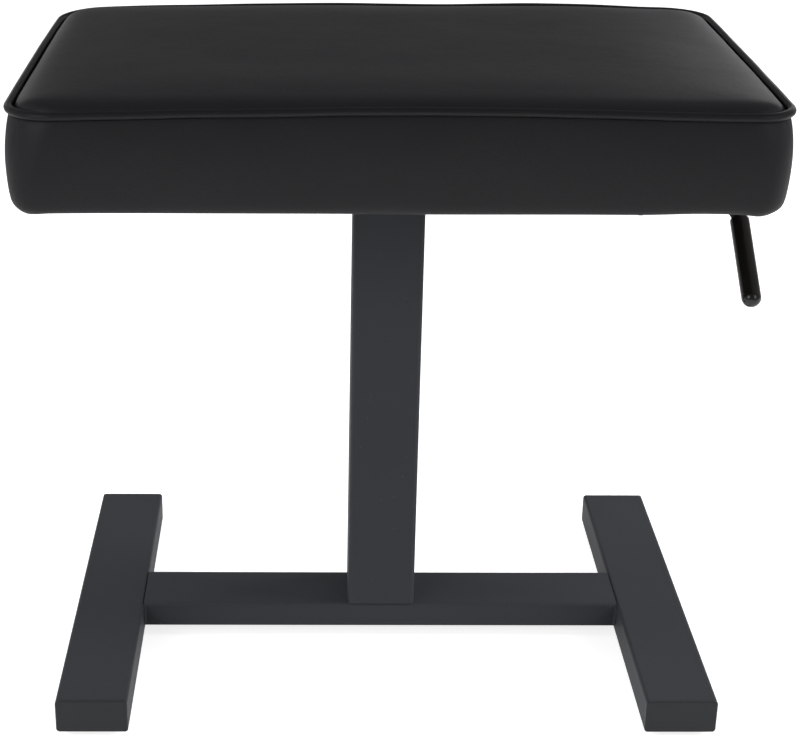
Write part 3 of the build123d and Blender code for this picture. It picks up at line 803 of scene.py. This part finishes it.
def sweep_recipe():
    """A round cord along a path."""
    g = Recipe("cord_sweep", Diameter="Float", Sides="Int", Finish="Material")
    line = g.node("GeometryNodeMeshToCurve", {}, {"Mesh": g.given("Path")})
    ring = g.node(
        "GeometryNodeCurvePrimitiveCircle", {"mode": "RADIUS"},
        {"Resolution": g.given("Sides"), "Radius": g.given("Diameter") * 0.5},
    )
    tube = g.node("GeometryNodeCurveToMesh", {}, {"Curve": line, "Profile Curve": ring})
    return g.close(tube)


def bead_recipe():
    """A weld bead: overlapping ripples along a path."""
    g = Recipe("weld_bead", Width="Float", Pitch="Float", Seed="Int", Finish="Material")
    line = g.node("GeometryNodeMeshToCurve", {}, {"Mesh": g.given("Path")})
    points = g.node(
        "GeometryNodeCurveToPoints", {"mode": "LENGTH"}, {"Curve": line, "Length": g.given("Pitch")}
    )
    tangent = Wire(g, points.socket.node.outputs["Tangent"])
    turn = g.node("FunctionNodeAlignRotationToVector", {"axis": "X"}, {"Vector": tangent})
    ripple = g.node(
        "GeometryNodeMeshUVSphere", {}, {"Segments": 10, "Rings": 6, "Radius": g.given("Width") * 0.5}
    )
    flat = g.node("GeometryNodeTransform", {}, {"Geometry": ripple, "Scale": (0.62, 1.0, 1.0)})
    size = g.node(
        "FunctionNodeRandomValue", {"data_type": "FLOAT"},
        {"Min": 0.9, "Max": 1.08, "Seed": g.given("Seed")},
        output="Value",
    )
    beads = g.node(
        "GeometryNodeInstanceOnPoints", {},
        {"Points": points, "Instance": flat, "Rotation": turn, "Scale": size},
    )
    return g.close(beads)


def staple_recipe():
    """Staples along a path, a little askew."""
    g = Recipe("staple_row", Spacing="Float", Staple="Object", Seed="Int", Finish="Material")
    line = g.node("GeometryNodeMeshToCurve", {}, {"Mesh": g.given("Path")})
    points = g.node(
        "GeometryNodeCurveToPoints", {"mode": "LENGTH"}, {"Curve": line, "Length": g.given("Spacing")}
    )
    tangent = Wire(g, points.socket.node.outputs["Tangent"])
    turn = g.node(
        "FunctionNodeAlignRotationToVector", {"axis": "X", "pivot_axis": "Z"}, {"Vector": tangent}
    )
    askew = g.node(
        "FunctionNodeRandomValue", {"data_type": "FLOAT_VECTOR"},
        {"Min": (0, 0, -0.22), "Max": (0, 0, 0.22), "Seed": g.given("Seed")},
        output="Value",
    )
    turned = g.node("FunctionNodeRotateRotation", {}, {"Rotation": turn, "Rotate By": askew})
    shape = g.node("GeometryNodeObjectInfo", {}, {"Object": g.given("Staple")}, output="Geometry")
    row = g.node(
        "GeometryNodeInstanceOnPoints", {}, {"Points": points, "Instance": shape, "Rotation": turned}
    )
    return g.close(row)


def path_mesh(name, *lines, closed=False):
    """A mesh of edges only, from lines of points."""
    points, edges = [], []
    for line in lines:
        first = len(points)
        points += [tuple(p) for p in line]
        edges += [(first + i, first + i + 1) for i in range(len(line) - 1)]
        if closed:
            edges.append((len(points) - 1, first))
    return mesh_from(name, points, [], edges)


def make_piping(path):
    """Corded piping on the seam."""
    piece = sweep_recipe().run(
        "seat_piping_cord", path_mesh("seat_piping_cord", path, closed=True), "piping_vinyl",
        Diameter=2 * PIPING_RADIUS, Sides=PIPING_SIDES,
    )
    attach(piece, "seat")
    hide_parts("seat_piping")
    return piece


def make_welds():
    """Weld beads where the beam meets the feet and where the inner column meets the seat plate."""
    recipe = bead_recipe()
    low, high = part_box("cross_beam")
    joints = [
        [(x, y * (high.y - BEAD_SINK), z) for z in (low.z + BEAD_END, high.z - BEAD_END)]
        for x in (low.x, high.x) for y in (-1, 1)
    ]
    base = recipe.run(
        "base_weld_beads", path_mesh("base_weld_beads", *joints), "frame_coat", **BASE_BEAD
    )
    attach(base, "base")
    low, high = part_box("inner_column")
    reach = high.x - PLATE_BEAD_END
    top = high.z - PLATE_BEAD_DROP
    ring = [[(-reach, y, top), (reach, y, top)] for y in (low.y, high.y)]
    ring += [[(x, -reach, top), (x, reach, top)] for x in (low.x, high.x)]
    plate = recipe.run(
        "plate_weld_beads", path_mesh("plate_weld_beads", *ring), "inner_tube_coat", **PLATE_BEAD
    )
    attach(plate, "seat")


def make_dust_cover():
    """Thin cloth under the board, sagging a little, with holes for the seat plate and the outer bracket.

    Gives the corners of its row of staples and their height.
    """
    low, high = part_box("dust_cover")
    holes = []
    for node in ("seat_plate", "lever_outer_bracket"):
        inner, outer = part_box(node)
        holes.append((inner.x - COVER_GAP, outer.x + COVER_GAP, inner.y - COVER_GAP, outer.y + COVER_GAP))
    marks_x = sorted({low.x, high.x} | {v for h in holes for v in h[:2]})
    marks_y = sorted({low.y, high.y} | {v for h in holes for v in h[2:]})

    def filled(marks):
        line = [marks[0]]
        for start, end in zip(marks, marks[1:]):
            count = max(1, round((end - start) / CLOTH_STEP))
            line += [start + (end - start) * (i + 1) / count for i in range(count)]
        return line

    xs, ys = filled(marks_x), filled(marks_y)
    index, points, faces = {}, [], []
    hole_area = 0.0

    def point(i, j):
        if (i, j) not in index:
            x, y = xs[i], ys[j]
            index[i, j] = len(points)
            border = min(high.x - abs(x), high.y - abs(y))
            slack = min(1.0, border / CLOTH_SAG_RUN)
            droop = CLOTH_SAG * slack * (0.6 + 0.4 * noise.noise(Vector((x * 22, y * 22, 0.3))))
            points.append((x, y, high.z - CLOTH_DROP - droop))
        return index[i, j]

    for i in range(len(xs) - 1):
        for j in range(len(ys) - 1):
            x, y = (xs[i] + xs[i + 1]) / 2, (ys[j] + ys[j + 1]) / 2
            if any(h[0] < x < h[1] and h[2] < y < h[3] for h in holes):
                hole_area += (xs[i + 1] - xs[i]) * (ys[j + 1] - ys[j])
                continue
            faces.append((point(i, j), point(i, j + 1), point(i + 1, j + 1), point(i + 1, j)))
    piece = new_piece("dust_cover_cloth", mesh_from("dust_cover_cloth", points, faces), "dust_cloth")
    thick = piece.modifiers.new("thick", "SOLIDIFY")
    thick.thickness = CLOTH_THICKNESS
    thick.offset = 0.0
    baked(piece)
    smooth(piece.data)
    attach(piece, "seat")
    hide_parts("dust_cover")
    width, depth = high.x - low.x, high.y - low.y
    width * depth - hole_area
    edge_x, edge_y = high.x - STAPLE_INSET, high.y - STAPLE_INSET
    corners = [(-edge_x, -edge_y), (edge_x, -edge_y), (edge_x, edge_y), (-edge_x, edge_y)]
    return corners, high.z - STAPLE_DROP


def staple_shape():
    """One staple: a flat wire crown with its two bent ends."""
    wire, crown_length, leg = 0.0006, 0.0100, 0.0012
    bend_in, bend_up = 0.0004, 0.0003
    section = [
        (-wire, 0), (-wire * 0.6, -wire * 0.7), (wire * 0.6, -wire * 0.7),
        (wire, 0), (wire * 0.6, wire * 0.5), (-wire * 0.6, wire * 0.5),
    ]
    half = crown_length / 2
    spine = [
        (-half, leg, 1, 0), (-half, bend_up, 0.8, 0.6), (-half + bend_in, 0, 0, 1),
        (half - bend_in, 0, 0, 1), (half, bend_up, -0.8, 0.6), (half, leg, -1, 0),
    ]
    points, faces = [], []
    for x, z, across, up in spine:
        points += [(x - b * across, a, z + b * up) for a, b in section]
    n = len(section)
    for ring in range(len(spine) - 1):
        for i in range(n):
            a, b = ring * n + i, ring * n + (i + 1) % n
            faces.append((a, b, b + n, a + n))
    faces += [tuple(range(n - 1, -1, -1)), tuple(range((len(spine) - 1) * n, len(spine) * n))]
    mesh = mesh_from("staple", points, faces)
    bm = bmesh.new()
    bm.from_mesh(mesh)
    bmesh.ops.recalc_face_normals(bm, faces=bm.faces)
    bm.to_mesh(mesh)
    bm.free()
    staple = bpy.data.objects.new("staple", mesh)
    bpy.context.scene.collection.objects.link(staple)
    return staple


def make_staples(corners, height):
    """Staples along the dust cover's border."""
    staple = staple_shape()
    sides = []
    for (x0, y0), (x1, y1) in zip(corners, corners[1:] + corners[:1]):
        start, end = Vector((x0, y0, height)), Vector((x1, y1, height))
        inward = (end - start).normalized() * STAPLE_END
        sides.append([start + inward, end - inward])
    piece = staple_recipe().run(
        "dust_cover_staples", path_mesh("dust_cover_staples", *sides), "bright_steel",
        Spacing=STAPLE_SPACING, Staple=staple, Seed=11,
    )
    bpy.data.objects.remove(staple)
    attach(piece, "seat")


# Stage, light and camera


def clamped(wire, low, high):
    """A value kept between two limits."""
    return wire.math("MINIMUM", wire.math("MAXIMUM", wire, low), high)


def make_floor():
    """Pale floor that takes the shadow; white to the camera, dimmer in reflections from the sides and the back."""
    mesh = mesh_from(
        "floor",
        [(x * FLOOR_HALF, y * FLOOR_HALF, 0) for x, y in ((-1, -1), (1, -1), (1, 1), (-1, 1))],
        [(0, 1, 2, 3)],
    )
    floor = bpy.data.objects.new("floor", mesh)
    bpy.context.scene.collection.objects.link(floor)
    f = Finish("floor_white")
    matt = f.node("ShaderNodeBsdfDiffuse", {}, {"Color": grey(FLOOR_GREY)})
    back = f.node("ShaderNodeSeparateXYZ", {}, {"Vector": f.place}, output="Y")
    across = Wire(f, back.socket.node.outputs["X"])
    aside = across.math("MAXIMUM", across.math("ABSOLUTE", across) - 0.35, 0.0)
    dimmed = 1.0 - aside * 1.1 - back.math("MAXIMUM", back, 0.0) * 1.2
    mirrored = clamped(dimmed, FLOOR_MIRRORED_LEAST, 1.0) * FLOOR_MIRRORED
    away = back.math("SQRT", across * across + back * back)
    open_floor = clamped(0.70 + away * 0.12, FLOOR_NEAR, 1.0)
    camera = f.node("ShaderNodeLightPath", output="Is Camera Ray")
    glossy = Wire(f, camera.socket.node.outputs["Is Glossy Ray"])
    through = Wire(f, camera.socket.node.outputs["Is Transmission Ray"])
    indirect = camera.math("MAXIMUM", glossy, through) * mirrored
    strength = camera.math("MAXIMUM", camera * open_floor, indirect)
    glow = f.node("ShaderNodeEmission", {}, {"Color": grey(1.0), "Strength": strength})
    both = f.node("ShaderNodeAddShader", {}, {0: matt, 1: glow})
    f.node("ShaderNodeOutputMaterial", {}, {"Surface": both})
    mesh.materials.append(f.material)


def make_surround():
    """White surround to the camera; a dim studio in reflections, brighter low down and behind the bench."""
    world = bpy.data.worlds.new("studio")
    bpy.context.scene.world = world
    world.use_nodes = True
    world.node_tree.nodes.clear()
    w = Graph(world.node_tree)
    direction = w.node("ShaderNodeTexCoord", output="Generated")
    up = w.node("ShaderNodeSeparateXYZ", {}, {"Vector": direction}, output="Z")
    behind = Wire(w, up.socket.node.outputs["Y"]) * 0.5 + 0.5
    low = clamped(1.3 - up * 9.0, 0.0, 1.0)
    studio = 0.175 + low * (0.05 + behind * 0.50)
    camera = w.node("ShaderNodeLightPath", output="Is Camera Ray")
    through = Wire(w, camera.socket.node.outputs["Is Transmission Ray"])
    strength = camera.math("MAXIMUM", studio, camera.math("MAXIMUM", camera, through))
    air = w.node("ShaderNodeBackground", {}, {"Color": grey(1.0), "Strength": strength})
    w.node("ShaderNodeOutputWorld", {}, {"Surface": air})


def soft_box(name, place, target, size, watts, mirrored=True):
    """A rectangular studio light aimed at a point; one that isn't mirrored stays out of reflections."""
    light = bpy.data.lights.new(name, "AREA")
    light.shape = "RECTANGLE"
    light.size, light.size_y = size
    light.energy = watts
    lamp = bpy.data.objects.new(name, light)
    lamp.location = place
    lamp.rotation_euler = (Vector(target) - Vector(place)).to_track_quat("-Z", "Y").to_euler()
    lamp.visible_glossy = mirrored
    bpy.context.scene.collection.objects.link(lamp)


def make_lights():
    """A soft key at each side of the camera, a large light over each end, a low one behind each end."""
    soft_box("left_key", (-1.1, -1.3, 0.95), (0, 0, 0.2), (0.9, 0.9), 8.0)
    soft_box("right_key", (1.1, -1.3, 0.95), (0.1, 0, 0.3), (0.7, 0.9), 4.5)
    soft_box("left_wall", (-1.9, 0.1, 1.2), (0, 0, 0.2), (1.3, 1.1), 25.0, False)
    soft_box("right_wall", (1.9, 0.1, 1.2), (0, 0, 0.2), (1.3, 1.1), 40.0, False)
    soft_box("right_back", (1.15, 1.9, 0.78), (0.2, 0, 0.44), (1.0, 0.55), 2.7)
    soft_box("left_back", (-1.15, 1.9, 0.74), (-0.2, 0, 0.44), (0.8, 0.45), 1.2)


def make_camera():
    """The photograph's camera."""
    camera = bpy.data.cameras.new("photo_camera")
    camera.sensor_fit = "HORIZONTAL"
    camera.sensor_width = SENSOR_WIDTH
    camera.lens = FOCAL_PIXELS * SENSOR_WIDTH / IMAGE_WIDTH
    camera.shift_x = (IMAGE_MIDDLE_X - AXIS_PIXEL_X) / IMAGE_WIDTH
    camera.clip_start = 0.05
    forward = Vector((
        sin(CAMERA_YAW) * cos(CAMERA_PITCH), cos(CAMERA_YAW) * cos(CAMERA_PITCH), -sin(CAMERA_PITCH)
    ))
    level = Vector((cos(CAMERA_YAW), -sin(CAMERA_YAW), 0.0))
    plumb = level.cross(forward)
    right = cos(CAMERA_ROLL) * level + sin(CAMERA_ROLL) * plumb
    up = -sin(CAMERA_ROLL) * level + cos(CAMERA_ROLL) * plumb
    view = Matrix((right, up, -forward)).transposed().to_4x4()
    view.translation = Vector(CAMERA_PLACE)
    holder = bpy.data.objects.new("photo_camera", camera)
    holder.matrix_world = view
    bpy.context.scene.collection.objects.link(holder)
    bpy.context.scene.camera = holder
    bpy.context.scene.view_settings.view_transform = "Standard"


dress_nodes()
seam_line = piping_path(PIPING_POINTS)
make_cushion(seam_line)
make_piping(seam_line)
make_welds()
cover_corners, cover_height = make_dust_cover()
make_staples(cover_corners, cover_height)
make_floor()
make_surround()
make_lights()
make_camera()
